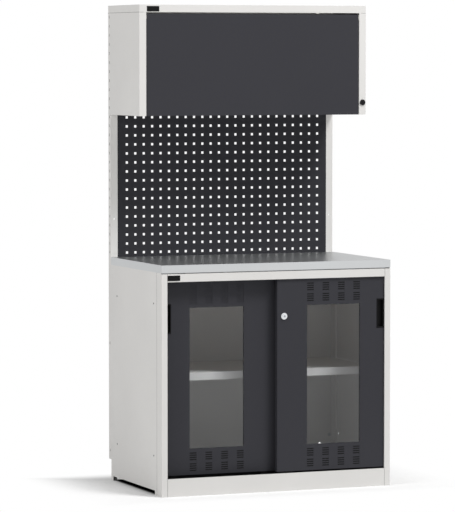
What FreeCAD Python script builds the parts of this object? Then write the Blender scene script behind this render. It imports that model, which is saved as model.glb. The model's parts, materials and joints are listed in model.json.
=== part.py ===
"""A sliding door base cabinet with worktop, tool panel and overhead cabinet.

Millimetres. X runs to the right, Y to the back, Z up. The origin is on the floor,
under the middle of the whole unit.
"""
import FreeCAD, Part
import math
import os
import Sketcher

# Driving dimensions: each is one cell of the sheet, with its name as the alias
SIZES = {
    # Whole unit
    "overall_width": 1018,
    "base_depth": 598,
    "upright_depth": 29,
    "total_height": 2000,
    "sheet_gauge": 1.2,
    "rest_clearance": 0.3,
    "cut_overrun": 1,
    # Base carcass
    "post_width": 25,
    "post_depth": 57,
    "post_lip": 6,
    "seam_return": 12,
    "front_gap": 4,
    "rail_height": 33,
    "rail_lip": 6,
    "rail_top_return": 7,
    "plinth_height": 73,
    "plinth_lip": 7,
    "plinth_foot": 40,
    "floor_height": 60,
    "floor_flange": 30,
    "side_flange": 25,
    "notch_height": 19,
    "notch_front": 80,
    "notch_rear": 23,
    "joining_hole_radius": 4,
    "joining_hole_front": 93,
    "joining_hole_rear": 72,
    "joining_hole_low": 161,
    "joining_hole_drop": 128,
    "fixing_hole_radius": 4.5,
    "fixing_hole_inset": 59.5,
    "fixing_hole_low": 114,
    "fixing_hole_drop": 78,
    "rear_rail_depth": 40,
    "rear_rail_height": 30,
    # Shelf and what carries it
    "standard_width": 46,
    "standard_depth": 8,
    "standard_front": 170,
    "standard_rear_gap": 8,
    "standard_headroom": 10,
    "standard_slot_width": 8,
    "standard_slot_height": 20,
    "standard_slot_pitch": 95,
    "standard_slot_first": 40,
    "shelf_height": 489,
    "shelf_front": 145,
    "shelf_fold": 32,
    "shelf_side_clearance": 1,
    "shelf_rear_clearance": 5,
    "clip_gauge": 2,
    "clip_reach": 20,
    "clip_drop": 22,
    "clip_width": 16,
    # Worktop
    "worktop_height": 944,
    "worktop_thickness": 32,
    # Sliding doors
    "door_recess": 8.5,
    "door_spacing": 40,
    "door_depth": 22,
    "door_bottom": 80,
    "door_top_gap": 28,
    "door_side_clearance": 1.5,
    "front_door_edge": 2,
    "rear_door_edge": 22,
    "rear_door_stop_gap": 3.5,
    "front_door_stop_gap": 7.5,
    "window_top_margin": 119,
    "window_bottom": 188,
    "front_window_inner_margin": 133.5,
    "front_window_outer_margin": 121,
    "rear_window_inner_margin": 152,
    "rear_window_outer_margin": 126.5,
    "pane_thickness": 4,
    "pane_overlap": 10,
    "retainer_gauge": 1.5,
    "retainer_depth": 6,
    "vent_width": 30,
    "vent_pitch": 69.5,
    "slit_height": 5,
    "slit_pitch": 9,
    "slit_count": 4,
    "vent_row_pitch": 44.5,
    "vent_row_count": 2,
    "vent_gap": 16,
    # Recessed handles
    "handle_width": 34,
    "handle_height": 122,
    "handle_drop": 162,
    "handle_margin": 11.5,
    "handle_flange": 1.2,
    "handle_rim": 3,
    "cup_depth": 17,
    "cup_wall": 2,
    # Door rollers, hangers and track
    "hanger_gauge": 3,
    "hanger_offset": 4,
    "hanger_length": 40,
    "hanger_inset": 60,
    "hanger_above_axle": 6,
    "roller_radius": 9,
    "roller_width": 7,
    "roller_gap": 2,
    "axle_radius": 3,
    "axle_clearance": 0.05,
    "axle_head_flat": 5,
    "axle_head_width": 1.5,
    "track_gauge": 1.5,
    "track_clearance": 1,
    "track_front_flange": 6,
    "track_end_gap": 0.5,
    "stop_gap": 1,
    # Bottom guide and shoes
    "guide_base": 2,
    "fin_gauge": 2,
    "fin_height": 12,
    "shoe_width": 14,
    "shoe_length": 30,
    "shoe_inset": 60,
    "shoe_reach": 14,
    "shoe_slot_depth": 10,
    # Push lock on the front door and keeper on the rear door
    "lock_inset": 30,
    "lock_ring_radius": 13.5,
    "lock_ring_depth": 3,
    "lock_barrel_flat": 11,
    "lock_barrel_length": 20,
    "plunger_radius": 9,
    "plunger_reach": 8,
    "plunger_length": 20,
    "bolt_pin_side": 9,
    "bolt_pin_length": 17.5,
    "key_plug_radius": 5,
    "key_plug_length": 14,
    "key_slot_width": 1.4,
    "key_slot_length": 7,
    "key_slot_depth": 8,
    "lock_clip_side": 34,
    "lock_clip_gauge": 2,
    "keeper_gauge": 2,
    "keeper_reach": 8,
    "keeper_foot": 15,
    "keeper_height": 30,
    # Uprights and tool panel
    "upright_width": 30,
    "upright_gauge": 1.5,
    "upright_bottom": 88,
    "accessory_hole_radius": 3.5,
    "accessory_hole_rise": 161,
    "panel_flange": 15,
    "panel_side_margin": 40,
    "panel_end_margin": 14,
    "hole_grid_lift": 3,
    "hole_pitch": 38,
    "hole_side": 10,
    # Bolts through the uprights
    "joint_bolt_side": 8,
    "joint_bolt_hole_side": 9,
    "joint_bolt_head_flat": 6.5,
    "joint_bolt_head": 5,
    "joint_nut_height": 6,
    "base_bolt_low": 150,
    "base_bolt_drop": 62,
    "overhead_bolt_rise": 57,
    "overhead_bolt_drop": 59,
    # Overhead cabinet
    "overhead_height": 457,
    "overhead_depth": 345,
    "cap_height": 31,
    "cap_lip": 20,
    "stile_width": 30,
    "stile_lip": 24,
    "overhead_flange": 25,
    "overhead_floor_fold": 25,
    "overhead_floor_gap": 1.5,
    # Lift-up flap
    "flap_side_gap": 3,
    "flap_top_gap": 6,
    "flap_recess": 3,
    "flap_depth": 20,
    "pivot_drop": 12,
    "pivot_radius": 4,
    "pivot_clearance": 0.06,
    "pivot_reach": 8,
    "bush_side": 12,
    "bush_fit": 0.02,
    "bush_flange_side": 18,
    "bush_tail": 3,
    "buffer_width": 20,
    "buffer_height": 12,
    "buffer_inset": 80,
    "buffer_rise": 6,
    # Flap lock on the right stile
    "flap_lock_rise": 51,
    "flap_lock_ring_radius": 12,
    "flap_lock_ring_depth": 4,
    "flap_lock_barrel_flat": 8.5,
    "flap_lock_barrel_length": 9,
    "flap_plug_radius": 6,
    "cam_length": 26,
    "cam_width": 10,
    "cam_gauge": 3,
    "cam_slot_clearance": 3,
}

doc = FreeCAD.newDocument("Cabinet")
sheet = doc.addObject("Spreadsheet::Sheet", "Sizes")
for row, (alias, value) in enumerate(SIZES.items(), start=1):
    sheet.set(f"A{row}", str(value))
    sheet.setAlias(f"A{row}", alias)
doc.recompute()


class Size:
    """A length as its present number and the sheet formula that keeps it."""

    def __init__(self, number, formula):
        self.number = number
        self.formula = formula

    def __add__(self, other):
        return Size(self.number + other.number, f"({self.formula} + {other.formula})")

    def __sub__(self, other):
        return Size(self.number - other.number, f"({self.formula} - {other.formula})")

    def __mul__(self, factor):
        return Size(self.number * factor, f"({self.formula} * {factor})")

    def __truediv__(self, factor):
        return Size(self.number / factor, f"({self.formula} / {factor})")

    def __neg__(self):
        return Size(-self.number, f"(-{self.formula})")


class Sizes:
    """Every cell of the sheet as a Size, by its alias."""

    def __getattr__(self, alias):
        return Size(float(sheet.get(alias)), f"Sizes.{alias}")


S = Sizes()
ZERO = Size(0, "0")

# Main planes, worked out once from the sheet
half = S.overall_width / 2
front = -(S.base_depth + S.upright_depth) / 2
base_rear = front + S.base_depth
unit_rear = base_rear + S.upright_depth
seam = front + S.post_depth
body_top = S.worktop_height - S.worktop_thickness
inner_wall = half - S.sheet_gauge
back_face = base_rear - S.sheet_gauge * 2
door_limit = half - S.seam_return - S.door_side_clearance
track_end = half - S.seam_return - S.track_end_gap
overhead_front = base_rear - S.overhead_depth
overhead_bottom = S.total_height - S.overhead_height
cap_under = S.total_height - S.cap_height
upright_axis = half - S.upright_width / 2
base_bolt_heights = (S.base_bolt_low, body_top - S.base_bolt_drop)
overhead_bolt_heights = (overhead_bottom + S.overhead_bolt_rise, cap_under - S.overhead_bolt_drop)
door_top = body_top - S.door_top_gap

sub_parts = []


class Disc:
    """A round outline, by its centre and radius."""

    def __init__(self, across, along, radius):
        self.across = across
        self.along = along
        self.radius = radius


def rectangle(low_a, high_a, low_b, high_b):
    """A four-cornered outline."""
    return [(low_a, low_b), (high_a, low_b), (high_a, high_b), (low_a, high_b)]


def square(across, along, side):
    """A square outline, by its centre and side."""
    return rectangle(across - side / 2, across + side / 2, along - side / 2, along + side / 2)


HEXAGON_RISE_SHARE = math.tan(math.radians(30))


def hexagon(across, along, flat):
    """A six-sided outline with its points up and down, by its centre and distance to a flat."""
    rise = flat * HEXAGON_RISE_SHARE
    return [
        (across + flat, along - rise),
        (across + flat, along + rise),
        (across, along + rise * 2),
        (across - flat, along + rise),
        (across - flat, along - rise),
        (across, along - rise * 2),
    ]


def places_in(span, pitch):
    """How many places, a pitch apart, a span holds."""
    count = math.floor(span.number / pitch.number) + 1
    return Size(count, f"(floor({span.formula} / {pitch.formula}) + 1)")


def sub_part(label):
    """A new body, listed for writing under its label."""
    body = doc.addObject("PartDesign::Body", label)
    body.Label = label
    sub_parts.append(body)
    return body


def draw(body, axis, level, outlines):
    """A sketch square to an axis at a level, with every corner tied to the sheet."""
    role = {"X": "YZ_Plane", "Y": "XZ_Plane", "Z": "XY_Plane"}[axis]
    plane = next(item for item in body.Origin.OriginFeatures if item.Role == role)
    sketch = body.newObject("Sketcher::SketchObject", "Outline")
    sketch.AttachmentSupport = [(plane, "")]
    sketch.MapMode = "FlatFace"
    offset = -level if axis == "Y" else level
    sketch.setExpression("AttachmentOffset.Base.z", offset.formula)
    ties = []
    joins = []
    formulas = []

    def tie_point(item, place, across, along):
        ties.append(Sketcher.Constraint("DistanceX", -1, 1, item, place, across.number))
        formulas.append(across.formula)
        ties.append(Sketcher.Constraint("DistanceY", -1, 1, item, place, along.number))
        formulas.append(along.formula)

    for outline in outlines:
        if isinstance(outline, Disc):
            middle = FreeCAD.Vector(outline.across.number, outline.along.number, 0)
            circle = Part.Circle(middle, FreeCAD.Vector(0, 0, 1), outline.radius.number)
            item = sketch.addGeometry(circle, False)
            tie_point(item, 3, outline.across, outline.along)
            ties.append(Sketcher.Constraint("Radius", item, outline.radius.number))
            formulas.append(outline.radius.formula)
            continue
        corners = [FreeCAD.Vector(a.number, b.number, 0) for a, b in outline]
        following = corners[1:] + corners[:1]
        items = sketch.addGeometry([Part.LineSegment(*ends) for ends in zip(corners, following)], False)
        for item, next_item in zip(items, items[1:] + items[:1]):
            joins.append(Sketcher.Constraint("Coincident", item, 2, next_item, 1))
        for item, (across, along) in zip(items, outline):
            tie_point(item, 1, across, along)
    sketch.addConstraint(ties + joins)
    for number, formula in enumerate(formulas):
        sketch.setExpression(f"Constraints[{number}]", formula)
    return sketch


def finish_feature(body, feature, sketch, length):
    """Ties a feature's length to the sheet and makes it the body's latest."""
    feature.Profile = sketch
    feature.setExpression("Length", length.formula)
    body.Tip = feature
    return feature


def pad(body, axis, outlines, low, high):
    """Material between two levels along an axis."""
    sketch = draw(body, axis, high if axis == "Y" else low, outlines)
    feature = body.newObject("PartDesign::Pad", "Pad")
    return finish_feature(body, feature, sketch, high - low)


def pocket(body, axis, outlines, low, high):
    """A cut between two levels along an axis."""
    sketch = draw(body, axis, low if axis == "Y" else high, outlines)
    feature = body.newObject("PartDesign::Pocket", "Pocket")
    return finish_feature(body, feature, sketch, high - low)


def repeat(body, feature, direction, pitch, count):
    """Copies a feature in a straight row along its sketch's own axis."""
    pattern = body.newObject("PartDesign::LinearPattern", "Row")
    pattern.Originals = [feature]
    pattern.Direction = (feature.Profile[0], [direction])
    pattern.Mode = "Spacing"
    pattern.setExpression("Offset", pitch.formula)
    pattern.setExpression("Occurrences", count.formula)
    body.Tip = pattern
    return pattern


def inward(side, distance):
    """The X of a point that far in from the outer face on one side (-1 left, 1 right)."""
    return (half - distance) * side


def ordered(one, other):
    """Two levels, the lower first."""
    return (one, other) if one.number < other.number else (other, one)


SIDES = {"left": -1, "right": 1}


# Base carcass

def front_post(name, side):
    """A folded post: front face with a lip, side leg, and a return at the seam."""
    gauge = S.sheet_gauge
    body = sub_part(f"{name}_front_post")
    outline = [
        (inward(side, ZERO), front),
        (inward(side, S.post_width), front),
        (inward(side, S.post_width), front + S.post_lip),
        (inward(side, S.post_width - gauge), front + S.post_lip),
        (inward(side, S.post_width - gauge), front + gauge),
        (inward(side, gauge), front + gauge),
        (inward(side, gauge), seam - gauge),
        (inward(side, S.seam_return), seam - gauge),
        (inward(side, S.seam_return), seam),
        (inward(side, ZERO), seam),
    ]
    pad(body, "Z", [outline], ZERO, body_top)
    gap = rectangle(
        inward(side, S.post_width + S.cut_overrun),
        inward(side, -S.cut_overrun),
        body_top - S.front_gap,
        body_top + S.cut_overrun,
    )
    pocket(body, "Y", [gap], front - S.cut_overrun, front + S.post_lip)


def side_panel(name, side):
    """A side wall folded in at the seam and the rear, notched at the floor."""
    gauge = S.sheet_gauge
    body = sub_part(f"{name}_side_panel")
    outline = [
        (inward(side, ZERO), seam),
        (inward(side, S.seam_return), seam),
        (inward(side, S.seam_return), seam + gauge),
        (inward(side, gauge), seam + gauge),
        (inward(side, gauge), base_rear - gauge),
        (inward(side, S.side_flange), base_rear - gauge),
        (inward(side, S.side_flange), base_rear),
        (inward(side, ZERO), base_rear),
    ]
    pad(body, "Z", [outline], ZERO, body_top)
    through = ordered(inward(side, -S.cut_overrun), inward(side, gauge))
    notch = rectangle(front + S.notch_front, base_rear - S.notch_rear, -S.cut_overrun, S.notch_height)
    pocket(body, "X", [notch], *through)
    holes = [
        Disc(along, height, S.joining_hole_radius)
        for along in (front + S.joining_hole_front, base_rear - S.joining_hole_rear)
        for height in (S.joining_hole_low, body_top - S.joining_hole_drop)
    ]
    pocket(body, "X", holes, *through)
    bolts = [square(upright_axis * side, height, S.joint_bolt_hole_side) for height in base_bolt_heights]
    pocket(body, "Y", bolts, base_rear - gauge, base_rear + S.cut_overrun)


def top_front_rail():
    """The rail over the doors, between the posts."""
    gauge = S.sheet_gauge
    top = body_top - S.front_gap
    bottom = top - S.rail_height
    outline = [
        (front, bottom),
        (front + S.rail_lip, bottom),
        (front + S.rail_lip, bottom + gauge),
        (front + gauge, bottom + gauge),
        (front + gauge, top - gauge),
        (front + S.rail_top_return, top - gauge),
        (front + S.rail_top_return, top),
        (front, top),
    ]
    pad(sub_part("top_front_rail"), "X", [outline], -(half - S.post_width), half - S.post_width)


def plinth_rail():
    """The rail under the doors, with a wide foot on the floor."""
    gauge = S.sheet_gauge
    outline = [
        (front, ZERO),
        (front + S.plinth_foot, ZERO),
        (front + S.plinth_foot, gauge),
        (front + gauge, gauge),
        (front + gauge, S.plinth_height - gauge),
        (front + S.plinth_lip, S.plinth_height - gauge),
        (front + S.plinth_lip, S.plinth_height),
        (front, S.plinth_height),
    ]
    pad(sub_part("plinth_rail"), "X", [outline], -(half - S.post_width), half - S.post_width)


def base_floor():
    """The floor sheet, narrower at the posts, folded down at the front and rear."""
    gauge = S.sheet_gauge
    body = sub_part("base_floor")
    narrow = half - S.seam_return
    notch = half - S.post_width
    start = front + gauge
    step = seam + gauge
    plan = [
        (-notch, start),
        (notch, start),
        (notch, front + S.post_lip),
        (narrow, front + S.post_lip),
        (narrow, step),
        (inner_wall, step),
        (inner_wall, back_face),
        (-inner_wall, back_face),
        (-inner_wall, step),
        (-narrow, step),
        (-narrow, front + S.post_lip),
        (-notch, front + S.post_lip),
    ]
    pad(body, "Z", [plan], S.floor_height - gauge, S.floor_height)
    folds = [
        rectangle(-notch, notch, start, start + gauge),
        rectangle(-inner_wall, inner_wall, back_face - gauge, back_face),
    ]
    pad(body, "Z", folds, S.floor_height - S.floor_flange, S.floor_height - gauge)


def base_back_panel():
    """The back sheet, with four holes for fixing to a wall."""
    body = sub_part("base_back_panel")
    outline = rectangle(-inner_wall, inner_wall, S.notch_height, body_top)
    pad(body, "Y", [outline], back_face, base_rear - S.sheet_gauge)
    holes = [
        Disc(inward(side, S.fixing_hole_inset), height, S.fixing_hole_radius)
        for side in SIDES.values()
        for height in (S.fixing_hole_low, body_top - S.fixing_hole_drop)
    ]
    holes += [
        square(upright_axis * side, height, S.joint_bolt_hole_side)
        for side in SIDES.values()
        for height in base_bolt_heights
    ]
    pocket(body, "Y", holes, back_face - S.cut_overrun, base_rear)


def top_rear_rail():
    """A channel under the rear of the worktop."""
    gauge = S.sheet_gauge
    near = back_face - S.rear_rail_depth
    bottom = body_top - S.rear_rail_height
    outline = [
        (near, bottom),
        (near + gauge, bottom),
        (near + gauge, body_top - gauge),
        (back_face - gauge, body_top - gauge),
        (back_face - gauge, bottom),
        (back_face, bottom),
        (back_face, body_top),
        (near, body_top),
    ]
    pad(sub_part("top_rear_rail"), "X", [outline], -inner_wall, inner_wall)


# Shelf

standard_face = inner_wall - S.standard_depth
standard_places = (front + S.standard_front, back_face - S.standard_rear_gap - S.standard_width)


def shelf_standards(name, side):
    """Two slotted channels on one side wall."""
    gauge = S.sheet_gauge
    body = sub_part(f"{name}_shelf_standards")
    top = body_top - S.rear_rail_height - S.standard_headroom
    outlines = [
        [
            (inner_wall * side, near),
            (standard_face * side, near),
            (standard_face * side, near + S.standard_width),
            (inner_wall * side, near + S.standard_width),
            (inner_wall * side, near + S.standard_width - gauge),
            ((standard_face + gauge) * side, near + S.standard_width - gauge),
            ((standard_face + gauge) * side, near + gauge),
            (inner_wall * side, near + gauge),
        ]
        for near in standard_places
    ]
    pad(body, "Z", outlines, S.floor_height, top)
    first = S.floor_height + S.standard_slot_first
    slots = [
        rectangle(
            near + S.standard_width / 2 - S.standard_slot_width / 2,
            near + S.standard_width / 2 + S.standard_slot_width / 2,
            first,
            first + S.standard_slot_height,
        )
        for near in standard_places
    ]
    web = ordered((standard_face - S.cut_overrun) * side, (standard_face + gauge) * side)
    count = places_in(top - first - S.standard_slot_height, S.standard_slot_pitch)
    repeat(body, pocket(body, "X", slots, *web), "V_Axis", S.standard_slot_pitch, count)


def shelf():
    """A shelf folded down at the front and rear."""
    gauge = S.sheet_gauge
    near = front + S.shelf_front
    far = back_face - S.shelf_rear_clearance
    bottom = S.shelf_height - S.shelf_fold
    outline = [
        (near, bottom),
        (near + gauge, bottom),
        (near + gauge, S.shelf_height - gauge),
        (far - gauge, S.shelf_height - gauge),
        (far - gauge, bottom),
        (far, bottom),
        (far, S.shelf_height),
        (near, S.shelf_height),
    ]
    end = standard_face - S.shelf_side_clearance
    pad(sub_part("shelf"), "X", [outline], -end, end)


def shelf_clips():
    """Four angle clips on the standards, under the shelf."""
    body = sub_part("shelf_clips")
    top = S.shelf_height - S.sheet_gauge
    outlines = []
    for side in SIDES.values():
        outlines.append([
            (standard_face * side, top),
            ((standard_face - S.clip_reach) * side, top),
            ((standard_face - S.clip_reach) * side, top - S.clip_gauge),
            ((standard_face - S.clip_gauge) * side, top - S.clip_gauge),
            ((standard_face - S.clip_gauge) * side, top - S.clip_drop),
            (standard_face * side, top - S.clip_drop),
        ])
    for near in standard_places:
        middle = near + S.standard_width / 2
        pad(body, "Y", outlines, middle - S.clip_width / 2, middle + S.clip_width / 2)


# Worktop

def worktop():
    """A board core under a folded steel cover."""
    gauge = S.sheet_gauge
    inside = rectangle(-inner_wall, inner_wall, front + gauge, base_rear - gauge)
    cover = sub_part("worktop_cover")
    pad(cover, "Z", [rectangle(-half, half, front, base_rear)], body_top, S.worktop_height)
    pocket(cover, "Z", [inside], body_top, S.worktop_height - gauge)
    pad(sub_part("worktop_core"), "Z", [inside], body_top, S.worktop_height - gauge)


# Sliding door gear

ledge_under = door_top + S.hanger_gauge + S.track_clearance
ledge_top = ledge_under + S.track_gauge
axle_height = ledge_top + S.rest_clearance + S.roller_radius


class Lane:
    """The depths of one sliding door and of the gear over and under it."""

    def __init__(self, door_front):
        self.door_front = door_front
        self.door_rear = door_front + S.door_depth
        self.plate_front = door_front + S.hanger_offset
        self.plate_rear = self.plate_front + S.hanger_gauge
        self.ledge_front = self.plate_rear + S.track_clearance
        self.roller_front = self.plate_rear + S.roller_gap
        self.roller_rear = self.roller_front + S.roller_width
        self.head_front = self.roller_rear + S.rest_clearance
        self.head_rear = self.head_front + S.axle_head_width
        self.leg_front = self.head_rear + S.track_clearance
        self.leg_rear = self.leg_front + S.track_gauge
        self.fin = door_front + S.door_depth / 2


front_lane = Lane(front + S.door_recess)
rear_lane = Lane(front + S.door_recess + S.door_spacing)


def door_top_track():
    """One folded track with a hooked leg and ledge for each door."""
    web_under = body_top - S.track_gauge
    start = front_lane.door_front + S.track_front_flange
    outline = [(start, body_top), (rear_lane.leg_rear, body_top)]
    for lane in (rear_lane, front_lane):
        if lane is front_lane:
            outline.append((lane.leg_rear, web_under))
        outline += [
            (lane.leg_rear, ledge_under),
            (lane.ledge_front, ledge_under),
            (lane.ledge_front, ledge_top),
            (lane.leg_front, ledge_top),
            (lane.leg_front, web_under),
        ]
    outline.append((start, web_under))
    pad(sub_part("door_top_track"), "X", [outline], -track_end, track_end)


def track_stops():
    """Rubber blocks on the ledges that end each door's travel."""
    body = sub_part("track_stops")
    reach = S.roller_radius + S.stop_gap
    rear_spans = [
        (-track_end, -door_limit + S.hanger_inset - reach),
        (door_limit - S.rear_door_stop_gap - S.hanger_inset + reach, track_end),
    ]
    front_spans = [
        (-track_end, -door_limit + S.front_door_stop_gap + S.hanger_inset - reach),
        (door_limit - S.hanger_inset + reach, track_end),
    ]
    for lane, spans in ((rear_lane, rear_spans), (front_lane, front_spans)):
        outline = rectangle(lane.roller_front, lane.roller_rear, ledge_top, axle_height)
        for low, high in spans:
            pad(body, "X", [outline], low, high)


def door_bottom_guide():
    """A strip on the floor with one upright fin for each door."""
    top = S.floor_height + S.guide_base
    fin_top = top + S.fin_height
    outline = [(front_lane.door_front, S.floor_height), (rear_lane.door_rear, S.floor_height)]
    outline.append((rear_lane.door_rear, top))
    for lane in (rear_lane, front_lane):
        outline += [
            (lane.fin + S.fin_gauge / 2, top),
            (lane.fin + S.fin_gauge / 2, fin_top),
            (lane.fin - S.fin_gauge / 2, fin_top),
            (lane.fin - S.fin_gauge / 2, top),
        ]
    outline.append((front_lane.door_front, top))
    pad(sub_part("door_bottom_guide"), "X", [outline], -track_end, track_end)


class Door:
    """One sliding door's place: its edges, window, handle and lane."""

    def __init__(self, name, lane, edges, window, outer):
        low, high = edges
        self.name = name
        self.lane = lane
        self.low = low
        self.high = high
        self.window_low, self.window_high = window
        near = (door_limit - S.handle_margin - S.handle_width) * outer
        far = (door_limit - S.handle_margin) * outer
        self.handle_low, self.handle_high = ordered(near, far)
        self.hanger_places = (low + S.hanger_inset, high - S.hanger_inset)
        self.shoe_places = (low + S.shoe_inset, high - S.shoe_inset)


rear_edges = (-door_limit, S.rear_door_edge)
rear_window = (-door_limit + S.rear_window_outer_margin, S.rear_door_edge - S.rear_window_inner_margin)
rear_door = Door("left", rear_lane, rear_edges, rear_window, -1)
front_edges = (S.front_door_edge, door_limit)
front_window = (S.front_door_edge + S.front_window_inner_margin, door_limit - S.front_window_outer_margin)
front_door = Door("right", front_lane, front_edges, front_window, 1)
window_top = door_top - S.window_top_margin
handle_centre = door_top - S.handle_drop
handle_bottom = handle_centre - S.handle_height / 2
handle_top = handle_centre + S.handle_height / 2
lock_across = S.front_door_edge + S.lock_inset
skin_rear = {door.name: door.lane.door_front + S.sheet_gauge for door in (rear_door, front_door)}


def cup_outline(door, spare):
    """The outline of a handle's cup, or of the hole for it, with some room to spare."""
    return rectangle(
        door.handle_low + S.handle_rim - spare,
        door.handle_high - S.handle_rim + spare,
        handle_bottom + S.handle_rim - spare,
        handle_top - S.handle_rim + spare,
    )


def vent_slits(door):
    """One column of ventilation slits, above and below the window."""
    block = S.slit_pitch * (int(S.slit_count.number) - 1) + S.slit_height
    low_side = door.window_low
    high_side = low_side + S.vent_width
    slits = []
    for row in range(int(S.vent_row_count.number)):
        upper = window_top + S.vent_gap + S.vent_row_pitch * row
        lower = S.window_bottom - S.vent_gap - block - S.vent_row_pitch * row
        for start in (upper, lower):
            for place in range(int(S.slit_count.number)):
                low = start + S.slit_pitch * place
                slits.append(rectangle(low_side, high_side, low, low + S.slit_height))
    return slits


def door_panel(door):
    """A folded steel tray with a window, vents and a hole for the handle."""
    gauge = S.sheet_gauge
    lane = door.lane
    body = sub_part(f"{door.name}_door_panel")
    outer = rectangle(door.low, door.high, S.door_bottom, door_top)
    inner = rectangle(door.low + gauge, door.high - gauge, S.door_bottom + gauge, door_top - gauge)
    pad(body, "Y", [outer], lane.door_front, lane.door_rear)
    pocket(body, "Y", [inner], lane.door_front + gauge, lane.door_rear)
    cuts = [
        rectangle(door.window_low, door.window_high, S.window_bottom, window_top),
        cup_outline(door, S.rest_clearance),
    ]
    if door is front_door:
        cuts.append(hexagon(lock_across, handle_centre, S.lock_barrel_flat + S.rest_clearance))
    skin = (lane.door_front - S.cut_overrun, lane.door_front + gauge)
    pocket(body, "Y", cuts, *skin)
    columns = places_in(door.window_high - door.window_low - S.vent_width, S.vent_pitch)
    repeat(body, pocket(body, "Y", vent_slits(door), *skin), "H_Axis", S.vent_pitch, columns)


def door_window(door):
    """A clear pane behind the skin, and the folded frame that holds it there."""
    near = skin_rear[door.name]
    far = near + S.pane_thickness
    edge = S.pane_overlap
    pane = rectangle(
        door.window_low - edge, door.window_high + edge, S.window_bottom - edge, window_top + edge
    )
    pad(sub_part(f"{door.name}_door_window"), "Y", [pane], near, far)
    retainer = sub_part(f"{door.name}_window_retainer")
    opening = rectangle(door.window_low, door.window_high, S.window_bottom, window_top)
    pad(retainer, "Y", [pane, opening], far, far + S.retainer_gauge)
    gauge = S.retainer_gauge
    rim = rectangle(
        door.window_low - gauge, door.window_high + gauge, S.window_bottom - gauge, window_top + gauge
    )
    pad(retainer, "Y", [rim, opening], far + S.retainer_gauge, far + S.retainer_depth)


def door_handle(door):
    """A recessed cup with a thin flange on the door's face."""
    lane = door.lane
    body = sub_part(f"{door.name}_door_handle")
    flange = rectangle(door.handle_low, door.handle_high, handle_bottom, handle_top)
    pad(body, "Y", [flange], lane.door_front - S.handle_flange, lane.door_front)
    pad(body, "Y", [cup_outline(door, ZERO)], lane.door_front, lane.door_front + S.cup_depth)
    inside = cup_outline(door, -S.cup_wall)
    start = lane.door_front - S.handle_flange - S.cut_overrun
    pocket(body, "Y", [inside], start, lane.door_front + S.cup_depth - S.cup_wall)


def door_hangers(door):
    """Two angle brackets on the door's top edge, each with a hexagon-headed axle."""
    lane = door.lane
    body = sub_part(f"{door.name}_door_hangers")
    foot_top = door_top + S.hanger_gauge
    plate_top = axle_height + S.hanger_above_axle
    outline = [
        (lane.plate_front, door_top),
        (lane.leg_front, door_top),
        (lane.leg_front, foot_top),
        (lane.plate_rear, foot_top),
        (lane.plate_rear, plate_top),
        (lane.plate_front, plate_top),
    ]
    for middle in door.hanger_places:
        pad(body, "X", [outline], middle - S.hanger_length / 2, middle + S.hanger_length / 2)
    axles = [Disc(middle, axle_height, S.axle_radius) for middle in door.hanger_places]
    heads = [hexagon(middle, axle_height, S.axle_head_flat) for middle in door.hanger_places]
    pad(body, "Y", axles, lane.plate_rear, lane.head_front)
    pad(body, "Y", heads, lane.head_front, lane.head_rear)


def door_rollers(door):
    """One plain roller on each axle."""
    lane = door.lane
    names = ("outer", "inner") if door is rear_door else ("inner", "outer")
    for place, middle in zip(names, door.hanger_places):
        body = sub_part(f"{door.name}_{place}_roller")
        rim = Disc(middle, axle_height, S.roller_radius)
        bore = Disc(middle, axle_height, S.axle_radius + S.axle_clearance)
        pad(body, "Y", [rim, bore], lane.roller_front, lane.roller_rear)


def door_shoes(door):
    """Two nylon shoes under the door, each astride the guide's fin."""
    lane = door.lane
    body = sub_part(f"{door.name}_door_shoes")
    slot = S.fin_gauge / 2 + S.rest_clearance
    bottom = S.door_bottom - S.shoe_reach
    outline = [
        (lane.fin - S.shoe_width / 2, bottom),
        (lane.fin - slot, bottom),
        (lane.fin - slot, bottom + S.shoe_slot_depth),
        (lane.fin + slot, bottom + S.shoe_slot_depth),
        (lane.fin + slot, bottom),
        (lane.fin + S.shoe_width / 2, bottom),
        (lane.fin + S.shoe_width / 2, S.door_bottom),
        (lane.fin - S.shoe_width / 2, S.door_bottom),
    ]
    for middle in door.shoe_places:
        pad(body, "X", [outline], middle - S.shoe_length / 2, middle + S.shoe_length / 2)


def lock_keeper():
    """A strip on the rear door's edge that the lock's pin catches."""
    near = rear_lane.door_front - S.keeper_reach
    far = rear_lane.door_front + S.keeper_foot
    low = handle_centre - S.keeper_height / 2
    outline = rectangle(near, far, low, low + S.keeper_height)
    edge = S.rear_door_edge
    pad(sub_part("lock_keeper"), "X", [outline], edge, edge + S.keeper_gauge)


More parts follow.
